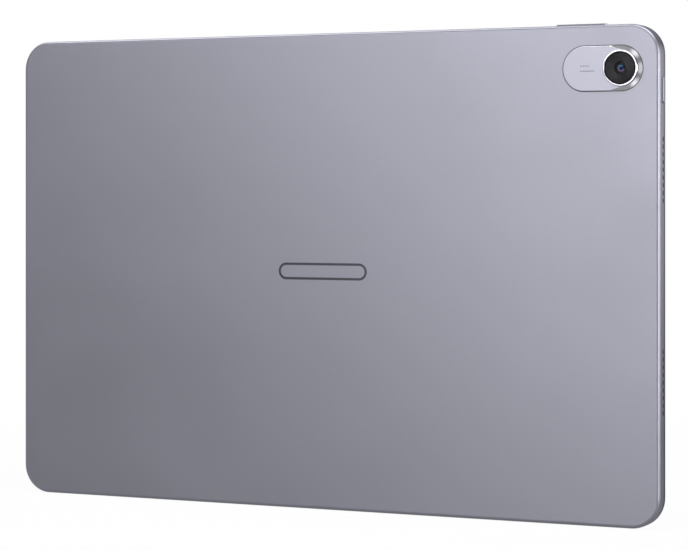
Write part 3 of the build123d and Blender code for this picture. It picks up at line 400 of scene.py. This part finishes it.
def arc(middle, radius, start, end, count):
    """Points of a circular arc, angles in degrees."""
    angles = [math.radians(start + (end - start) * k / count) for k in range(count + 1)]
    return [(middle[0] + radius * math.cos(a), middle[1] + radius * math.sin(a)) for a in angles]


def stadium(length, height, count=24):
    """Outline of a bar with round ends, centred, anticlockwise."""
    radius, straight = height / 2, length / 2 - height / 2
    return arc((straight, 0), radius, -90, 90, count) + arc((-straight, 0), radius, 90, 270, count)


def rounded(half_x, z_low, z_high, radius, count=10):
    """Outline of a rectangle with round corners, as (x, z) points."""
    found = []
    for cx, cz, start in (
        (half_x - radius, z_low + radius, -90),
        (half_x - radius, z_high - radius, 0),
        (radius - half_x, z_high - radius, 90),
        (radius - half_x, z_low + radius, 180),
    ):
        found += arc((cx, cz), radius, start, start + 90, count)
    return found


def slab(loops):
    """Points and faces of a closed solid through equal loops of points, first and last capped."""
    points = [p for loop in loops for p in loop]
    count = len(loops[0])
    faces = [list(range(count))[::-1], list(range(len(points) - count, len(points)))]
    for row in range(len(loops) - 1):
        for k in range(count):
            n = (k + 1) % count
            low, high = row * count, (row + 1) * count
            faces.append([low + k, low + n, high + n, high + k])
    return points, faces


def mark(name, outline, x, z, low, high, material):
    """Thin inlay with a slightly smaller top face."""
    loops = [[(x + px * s, y, z + pz * s) for px, pz in outline] for y, s in ((low, 1), (high, 0.995))]
    points, faces = slab(loops)
    return piece(name, points, faces, "chassis", "anodised_shell", material)


def band(name, outer, inner, x, z, low, high, slot, material):
    """Flat closed band between two outlines of equal count, from one level to another."""
    points, faces, count = [], [], len(outer)
    for outline, y in ((outer, low), (outer, high), (inner, high), (inner, low)):
        points += [(x + px, y, z + pz) for px, pz in outline]
    for row in range(4):
        for k in range(count):
            n = (k + 1) % count
            a, b = row * count, ((row + 1) % 4) * count
            faces.append([a + k, a + n, b + n, b + k])
    return piece(name, points, faces, "chassis", slot, material)


# ---------------------------------------------------------------- places, in millimetres
def box_mm(node):
    low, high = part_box(node)
    return [v / MM for v in low], [v / MM for v in high]


shell_low, shell_high = box_mm("rear_housing")
plate_low, plate_high = box_mm("camera_plate")
ring_low, ring_high = box_mm("camera_ring")
window_low, window_high = box_mm("camera_window")
mask_low, mask_high = box_mm("camera_mask")
barrel_low, barrel_high = box_mm("lens_barrel")
lens_low, lens_high = box_mm("lens_elements")
lens_x = (ring_low[0] + ring_high[0]) / 2
lens_z = (ring_low[2] + ring_high[2]) / 2
back = shell_high[1]
plate_top = plate_high[1]


def turned(name, profile, body, slot, material, stands_for=(), middle=(lens_x, lens_z), steps=128):
    """Piece turned about a line along Y, which is the rear camera's axis unless a middle is given."""
    return piece(name, *lathe_mesh(profile, *middle, steps), body, slot, material, stands_for)


# ---------------------------------------------------------------- rear camera
ring_radius = (ring_high[0] - ring_low[0]) / 2
window_radius = (window_high[0] - window_low[0]) / 2
mask_radius = (mask_high[0] - mask_low[0]) / 2
# Radii that the boxes of the nodes don't give.
barrel_radius, seat_radius, hole_radius = 2.72, 5.2, 2.1
barrel_bore, aperture = 1.92, 1.45

ring_round, ring_top = 0.14, ring_high[1]
lip_radius = window_radius + 0.03
turned(
    "camera_ring_turned",
    [(seat_radius, plate_top), (ring_radius - 0.02, plate_top), (ring_radius, plate_top + 0.02)]
    + arc((ring_radius - ring_round, ring_top - ring_round), ring_round, 0, 90, 6)
    + [(window_radius + 0.1, ring_top), (window_radius + 0.06, ring_top - 0.03)]
    + [(lip_radius, ring_top - 0.1), (lip_radius, window_low[1]), (seat_radius, window_low[1])],
    "chassis",
    "polished_ring",
    finishes["polished_ring"],
    ["camera_ring"],
)

# Painted shade: a dark band at the foot of the camera ring, where the groove lies in shadow.
shade_band_in, shade_band_out = ring_radius - 0.05, ring_radius + 0.12
turned(
    "camera_ring_gap_shade",
    [(shade_band_in, plate_top - 0.06), (shade_band_out, plate_top - 0.06), (shade_band_out, plate_top + 0.006)]
    + [(ring_radius + 0.08, plate_top + 0.012), (shade_band_in, plate_top + 0.012)],
    "chassis",
    "gasket_rubber",
    gap_shade.material,
)

clear = Finish("window_clear", linear(250, 252, 255), 0.02)
make_clear(clear, 1.12)
window_top = window_high[1]
window_back = window_top - 0.12
turned(
    "camera_window_clear",
    [(0, window_back), (window_radius - 0.02, window_back), (window_radius, window_back + 0.02)]
    + [(window_radius, window_top - 0.03), (window_radius - 0.03, window_top), (0, window_top)],
    "chassis",
    "camera_glass",
    clear.material,
    ["camera_window"],
)

print_in, print_out = mask_radius + 0.12, window_radius - 0.01
print_top = window_back - 0.004
turned(
    "camera_window_print",
    [(print_in, window_low[1]), (print_out, window_low[1]), (print_out, print_top), (print_in, print_top)],
    "chassis",
    "camera_glass",
    printed.material,
)

# Spun disc: fine turned grooves, and a bevel round the lens hole.
RING_PHASE = 52000.0  # radians of the disc's colour rings in a metre of radius
spun = Finish("spun_disc", linear(44, 44, 46), 0.34, metal=1.0, Anisotropic=0.85)
tangent = spun.node("Tangent", direction_type="RADIAL", axis="Y")
spun.join(tangent.outputs[0], spun.shader.inputs["Tangent"])
rings = spun.maths("SINE", spun.maths("MULTIPLY", spun.radius(lens_x * MM, lens_z * MM), RING_PHASE))
spun.tone(spun.maths("MULTIPLY_ADD", rings, 0.3, 0.5), 0.22)
groove_pitch, groove_depth = 0.09, 0.008
disc_top, disc_edge = window_back - 0.06, mask_radius + 0.14
grooves = []
groove_count = int((mask_radius - hole_radius - 0.16) / groove_pitch)
for k in range(groove_count):
    start = mask_radius - k * groove_pitch
    grooves += [(start, disc_top - 0.002), (start - groove_pitch / 2, disc_top - groove_depth)]
turned(
    "camera_spun_disc",
    [(hole_radius - 0.1, mask_low[1]), (disc_edge, mask_low[1]), (disc_edge, disc_top - 0.004)]
    + grooves
    + [(hole_radius + 0.06, disc_top - 0.002), (hole_radius, disc_top - 0.06)],
    "chassis",
    "spun_black",
    spun.material,
    ["camera_mask"],
    steps=144,
)

# Lens barrel with stepped baffles, and the domed, coated front lens.
barrel_top = barrel_high[1]
dome_top = lens_high[1]
baffle_radius, baffle_step, baffle_drop = 2.3, 0.17, 0.06
baffles = []
for k in range(4):
    radius = baffle_radius - baffle_step * k
    level = barrel_top - 0.05 - baffle_drop * k
    baffles += [(radius, level), (radius - 0.03, level - baffle_drop)]
turned(
    "lens_barrel_stepped",
    [(barrel_bore, barrel_low[1]), (barrel_radius, barrel_low[1]), (barrel_radius, barrel_top - 0.06)]
    + [(barrel_radius - 0.06, barrel_top), (2.36, barrel_top)]
    + baffles
    + [(aperture + 0.03, dome_top - 0.02), (aperture, dome_top - 0.1), (aperture, dome_top - 0.25)]
    + [(barrel_bore, dome_top - 0.25)],
    "lens_carrier",
    "black_plastic",
    finishes["black_plastic"],
    ["lens_barrel"],
    steps=112,
)
coating = Finish("lens_coating_painted_reflections", linear(10, 11, 16), 0.12, Specular_IOR_Level=0.12)


def reflection_crescent(x, z, inner, outer, side):
    """Mask of one painted reflection: 1 inside a soft ring about a point near the lens axis, and only
    towards one side of it.
    """
    soft_edge, soft_side = 0.16 * MM, 0.5 * MM
    away = coating.radius((lens_x + x) * MM, (lens_z + z) * MM)
    near = coating.maths("DIVIDE", coating.maths("SUBTRACT", away, inner * MM), soft_edge, clamp=True)
    far = coating.maths("DIVIDE", coating.maths("SUBTRACT", outer * MM, away), soft_edge, clamp=True)
    dx = coating.maths("MULTIPLY", coating.maths("SUBTRACT", coating.place("X"), lens_x * MM), side[0])
    dz = coating.maths("MULTIPLY", coating.maths("SUBTRACT", coating.place("Z"), lens_z * MM), side[1])
    facing = coating.maths("DIVIDE", coating.maths("ADD", dx, dz), soft_side, clamp=True)
    return coating.maths("MULTIPLY", coating.maths("MULTIPLY", near, far), facing)


# Painted reflections on the coated lens: colour, then place beside the axis, inner and outer radius, and
# direction of each crescent.
PAINTED_REFLECTIONS = (
    (linear(86, 62, 150), (0.1, 0.0, 0.75, 1.35, (1.0, 0.15))),
    (linear(84, 196, 226), (0.0, 0.0, 0.62, 1.12, (0.55, 0.85))),
    (linear(34, 84, 190), (0.0, 0.0, 0.35, 1.05, (-0.7, -0.55))),
    (linear(176, 158, 168), (0.0, 0.1, 0.95, 1.4, (0.1, -1.0))),
    (linear(96, 16, 24), (-0.1, 0.0, 0.2, 0.6, (-1.0, 0.2))),
)
# The lens's own dark colour, with the painted reflections laid over it.
lens_tint_and_reflections = (0.004, 0.004, 0.007)
for colour, spot in PAINTED_REFLECTIONS:
    lens_tint_and_reflections = coating.mix(reflection_crescent(*spot), lens_tint_and_reflections, colour)
coating.join(lens_tint_and_reflections, coating.shader.inputs["Base Color"])
dome_radius, dome_height, dome_rows = aperture - 0.04, 0.25, 12
sphere = (dome_radius**2 + dome_height**2) / (2 * dome_height)
dome = []
for k in range(dome_rows + 1):
    r = dome_radius * (dome_rows - k) / dome_rows
    dome.append((r, dome_top - sphere + math.sqrt(sphere**2 - r**2)))
turned(
    "front_lens_coated",
    [(0, lens_low[1]), (1.6, lens_low[1]), (1.88, lens_low[1] + 0.3), (1.88, dome_top - 0.27)]
    + [(dome_radius + 0.02, dome_top - 0.26)]
    + dome,
    "lens_carrier",
    "lens_glass",
    coating.material,
    ["lens_elements"],
    steps=96,
)

# ---------------------------------------------------------------- marks on the back, and painted shade in the seam round the camera plate
band(
    "back_mark_ring",
    stadium(36.3, 6.3),
    stadium(34.5, 4.5),
    0.0,
    (shell_low[2] + shell_high[2]) / 2,
    back - 0.05,
    back + 0.008,
    "anodised_shell",
    ink.material,
)
plate_length, plate_height = plate_high[0] - plate_low[0], plate_high[2] - plate_low[2]
# Painted shade: a dark band round the camera plate that stands for the shadow in its seam.
band(
    "camera_plate_gap_shade",
    stadium(plate_length + 0.6, plate_height + 0.6, 48),
    stadium(plate_length + 0.02, plate_height + 0.02, 48),
    (plate_low[0] + plate_high[0]) / 2,
    lens_z,
    back - 0.04,
    back + 0.004,
    "gasket_rubber",
    gap_shade.material,
)
# Two rows of dashes on the plate: height over the lens axis, pitch and count.
DASHES = ((0.9, 0.9, 4), (-0.9, 0.8, 7))
dash_start = plate_high[0] - 6.75
for row, (rise, pitch, dashes) in enumerate(DASHES):
    for k in range(dashes):
        mark(
            f"plate_dash_{row}_{k}",
            stadium(0.52, 0.46, 5),
            dash_start - pitch * k,
            lens_z + rise,
            plate_top - 0.03,
            plate_top + 0.006,
            faint.material,
        )


# ---------------------------------------------------------------- mesh behind the sound slots
def woven(middle_y, middle_z, x, side):
    """Points and faces of a closed panel of punched acoustic mesh, behind one group of sound slots."""
    pitch, web, thick = 0.24, 0.09, 0.08
    rows, columns = 6, 96
    near, far = web / 2 / pitch, 1 - web / 2 / pitch
    hole_corners = ((near, near), (far, near), (far, far), (near, far))
    points, faces = [], []

    def put(layer, i, j):
        y = middle_y + (i - rows / 2) * pitch
        points.append((x + side * layer * thick, y, middle_z + (j - columns / 2) * pitch))
        return len(points) - 1

    sheets = []
    for layer in (0, 1):
        lattice = [[put(layer, i, j) for j in range(columns + 1)] for i in range(rows + 1)]
        holes = {}
        for i in range(rows):
            for j in range(columns):
                hole = [put(layer, i + a, j + b) for a, b in hole_corners]
                cell = [lattice[i][j], lattice[i + 1][j], lattice[i + 1][j + 1], lattice[i][j + 1]]
                holes[i, j] = hole
                for k in range(4):
                    n = (k + 1) % 4
                    faces.append([cell[k], cell[n], hole[n], hole[k]])
        rim = lattice[0][:-1] + [row[-1] for row in lattice[:-1]]
        rim += lattice[-1][:0:-1] + [row[0] for row in lattice[:0:-1]]
        sheets.append((holes, rim))
    (lower, lower_rim), (upper, upper_rim) = sheets
    for low, high in [(lower_rim, upper_rim)] + [(lower[key], upper[key]) for key in lower]:
        for k in range(len(low)):
            n = (k + 1) % len(low)
            faces.append([low[k], low[n], high[n], high[k]])
    return points, faces


mesh_low, mesh_high = box_mm("speaker_meshes")
slot_shadow = 0.22  # how far the mesh lies behind the side's surface
for side_name, end in (("left", -1), ("right", 1)):
    for level in ("upper", "lower"):
        low, high = box_mm(f"speaker_enclosure_{side_name}_{level}")
        piece(
            f"sound_mesh_{side_name}_{level}",
            *woven(
                (mesh_low[1] + mesh_high[1]) / 2,
                (low[2] + high[2]) / 2,
                end * (shell_high[0] - slot_shadow),
                -end,
            ),
            "chassis",
            "mesh",
            finishes["mesh"],
            ["speaker_meshes"] if (side_name, level) == ("left", "upper") else (),
        )

# ---------------------------------------------------------------- screen side
glass_low, glass_high = box_mm("cover_glass")
glass_half, glass_corner, glass_round = glass_high[0], 9.27, 0.22
front, glass_back = glass_low[1], glass_high[1]


def glass_outline(inset):
    """Outline of the cover glass, taken in on all sides."""
    return rounded(glass_half - inset, glass_low[2] + inset, glass_high[2] - inset, glass_corner - inset)


clear_front = Finish("screen_clear", linear(250, 252, 255), 0.02)
make_clear(clear_front, 1.5)
edge_rows = [(0.0, glass_back - 0.012), (0.0, front + glass_round)]
edge_rows += arc((glass_round, front + glass_round), glass_round, 180, 270, 6)[1:]
piece(
    "screen_cover_clear",
    *slab([[(x, y, z) for x, z in glass_outline(inset)] for inset, y in edge_rows]),
    "chassis",
    "screen_glass",
    clear_front.material,
    ["cover_glass"],
)

border_inset, active_corner = 0.12, 4.2
active_half, active_bottom, active_top = 122.2, 8.41, 168.41
band(
    "screen_border_print",
    glass_outline(border_inset),
    rounded(active_half, active_bottom, active_top, active_corner),
    0.0,
    0.0,
    glass_back - 0.002,
    glass_back - 0.01,
    "screen_glass",
    printed.material,
)

CELL_PHASE = 26000.0  # radians of the panel's fine pattern in a metre
panel_inset, panel_levels = 0.02, (glass_back - 0.001, glass_back - 0.006)
dark_panel = Finish("panel_face", linear(20, 21, 26), 0.22, Coat_Weight=0.4)
cells_x = dark_panel.maths("SINE", dark_panel.maths("MULTIPLY", dark_panel.place("X"), CELL_PHASE))
cells_z = dark_panel.maths("SINE", dark_panel.maths("MULTIPLY", dark_panel.place("Z"), CELL_PHASE))
dark_panel.tone(dark_panel.maths("ADD", dark_panel.maths("MULTIPLY", cells_x, cells_z), 0.5), 0.12)
panel_outline = rounded(
    active_half - panel_inset, active_bottom + panel_inset, active_top - panel_inset, active_corner
)
piece(
    "screen_active_face",
    *slab([[(x, y, z) for x, z in panel_outline] for y in panel_levels]),
    "chassis",
    "panel_glass",
    dark_panel.material,
)

eye_low, eye_high = box_mm("front_camera")
sensor_low, sensor_high = box_mm("light_sensor")
eye_z = (eye_low[2] + eye_high[2]) / 2
behind_glass = glass_back - 0.012
eye_radius = 1.12
eye_glass = Finish("front_eye_coating", linear(14, 18, 40), 0.03, Coat_Weight=1.0)
eye_glass.grain(0.8, 0.0, tone=0.5)
turned(
    "front_eye_ring",
    [(1.15, behind_glass), (1.75, behind_glass), (1.72, glass_back - 0.05)]
    + [(1.3, glass_back - 0.08), (1.18, glass_back - 0.05)],
    "chassis",
    "black_plastic",
    finishes["black_plastic"],
    middle=(0.0, eye_z),
    steps=72,
)
turned(
    "front_eye_lens",
    [(0, behind_glass), (eye_radius, behind_glass)]
    + [(eye_radius * math.cos(a), glass_back - 0.02 - 0.12 * math.sin(a)) for a in (0.0, 0.4, 0.8, 1.2)]
    + [(0, glass_back - 0.145)],
    "chassis",
    "lens_glass",
    eye_glass.material,
    middle=(0.0, eye_z),
    steps=64,
)
turned(
    "light_sensor_window",
    [(0, behind_glass), (0.6, behind_glass), (0.55, glass_back - 0.03), (0, glass_back - 0.035)],
    "chassis",
    "lens_glass",
    eye_glass.material,
    middle=((sensor_low[0] + sensor_high[0]) / 2, eye_z),
    steps=40,
)


# ---------------------------------------------------------------- camera, lights and ground
def stand(name, data, location, gaze):
    """Object in the scene that looks along a direction, for the camera and the lights."""
    made = bpy.data.objects.new(name, data)
    made.location = location
    made.rotation_mode = "QUATERNION"
    made.rotation_quaternion = gaze.to_track_quat("-Z", "Y")
    bpy.context.scene.collection.objects.link(made)
    return made


camera_data = bpy.data.cameras.new("camera")
camera_data.sensor_width = 36.0
camera_data.lens = 126.15
camera_data.shift_y = -0.1206
camera_data.clip_start, camera_data.clip_end = 0.05, 20.0
eye, gaze = Vector((-0.3895, 0.8090, 0.11808)), Vector((0.42720, -0.90416, 0.0))
bpy.context.scene.camera = stand("camera", camera_data, eye, gaze)
bpy.context.scene.view_settings.view_transform = "Standard"

# Soft boxes round the object: name, azimuth from +Y towards +X, elevation, distance, size, watts.
target = Vector((0.0, 0.0, 0.09))
SOFT_BOXES = (
    ("key_low", 5, 0, 1.3, 0.35, 1.200),
    ("key_mid", 15, 5, 1.3, 0.5, 0.600),
    ("key_c", 15, 20, 1.3, 0.5, 2.150),
    ("key_d", 35, 20, 1.3, 0.5, 0.480),
    ("high", 15, 60, 1.3, 0.9, 0.600),
    ("arc_top", 90, 62, 1.2, 0.7, 5.000),
    ("far_right", -65, 4, 1.3, 0.5, 6.000),
    ("side_right", -110, 6, 1.3, 0.5, 3.000),
    ("front_right", -152, 6, 1.3, 0.4, 0.450),
    ("corner", -56, 58, 1.3, 0.7, 7.000),
    ("corner_top", -25, 76, 1.3, 0.5, 3.000),
    ("cone_up", -13, 31, 1.3, 0.3, 0.350),
    ("cone_low", -13, -21, 1.3, 0.3, 0.300),
    ("cone_side", -30, 5, 1.3, 0.45, 0.450),
    ("front_high", 180, 40, 1.4, 0.9, 0.600),
)
for name, azimuth, elevation, distance, size, watts in SOFT_BOXES:
    light = bpy.data.lights.new(name, "AREA")
    light.shape = "SQUARE"
    light.size = size
    light.energy = watts
    a, e = math.radians(azimuth), math.radians(elevation)
    out = Vector((math.sin(a) * math.cos(e), math.cos(a) * math.cos(e), math.sin(e)))
    stand(name, light, target + out * distance, -out)


# Brightness of the surroundings that the object mirrors.
ROOM, TABLE, END_WALL = 0.035, 0.23, 0.4


def studio_world():
    """White surroundings to the eye; to the object, a dim room, a pale table below and a pale end wall."""
    world = bpy.data.worlds.new("studio")
    bpy.context.scene.world = world
    world.use_nodes = True
    sky = world.node_tree
    sky.nodes.clear()

    def node(kind):
        return sky.nodes.new("ShaderNode" + kind)

    seen, room, total = node("Background"), node("Background"), node("Math")
    seen.inputs["Color"].default_value = WHITE
    seen.inputs["Strength"].default_value = 1.0
    room.inputs["Color"].default_value = WHITE
    heading, parts = node("TexCoord"), node("SeparateXYZ")
    sky.links.new(heading.outputs["Generated"], parts.inputs[0])
    below, beside = (-0.15, -0.35, 0.0, TABLE), (0.6, 0.95, ROOM, END_WALL)
    for axis, values, term in (("Z", below, total.inputs[0]), ("X", beside, total.inputs[1])):
        glow = node("MapRange")
        set_range(glow, *values)
        sky.links.new(parts.outputs[axis], glow.inputs["Value"])
        sky.links.new(glow.outputs["Result"], term)
    sky.links.new(total.outputs[0], room.inputs["Strength"])
    path, choose, end = node("LightPath"), node("MixShader"), node("OutputWorld")
    sky.links.new(path.outputs["Is Camera Ray"], choose.inputs[0])
    sky.links.new(room.outputs[0], choose.inputs[1])
    sky.links.new(seen.outputs[0], choose.inputs[2])
    sky.links.new(choose.outputs[0], end.inputs["Surface"])


def pale_ground():
    """Material of the floor: a faint matte share near the object, and nothing of it further out."""
    ground = bpy.data.materials.new("pale_floor")
    ground.use_nodes = True
    tree = ground.node_tree
    tree.nodes.clear()

    def node(kind):
        return tree.nodes.new("ShaderNode" + kind)

    thin, matte = node("BsdfTransparent"), node("BsdfDiffuse")
    matte.inputs["Color"].default_value = (0.9, 0.9, 0.9, 1)
    spot, away, fade = node("TexCoord"), node("VectorMath"), node("MapRange")
    away.operation = "LENGTH"
    set_range(fade, 0.1, 0.5, 0.05, 0.0)
    share, end = node("MixShader"), node("OutputMaterial")
    tree.links.new(spot.outputs["Object"], away.inputs[0])
    tree.links.new(away.outputs["Value"], fade.inputs["Value"])
    tree.links.new(fade.outputs["Result"], share.inputs[0])
    tree.links.new(thin.outputs[0], share.inputs[1])
    tree.links.new(matte.outputs[0], share.inputs[2])
    tree.links.new(share.outputs[0], end.inputs["Surface"])
    return ground


studio_world()
floor_reach, floor_gap = 3.0, 0.0002
floor_corners = [(x * floor_reach, y * floor_reach, 0) for x, y in ((-1, -1), (1, -1), (1, 1), (-1, 1))]
floor_mesh = bpy.data.meshes.new("floor")
floor_mesh.from_pydata(floor_corners, [], [(0, 1, 2, 3)])
floor_mesh.materials.append(pale_ground())
floor = bpy.data.objects.new("floor", floor_mesh)
floor.location.z = shell_low[2] * MM - floor_gap
bpy.context.scene.collection.objects.link(floor)
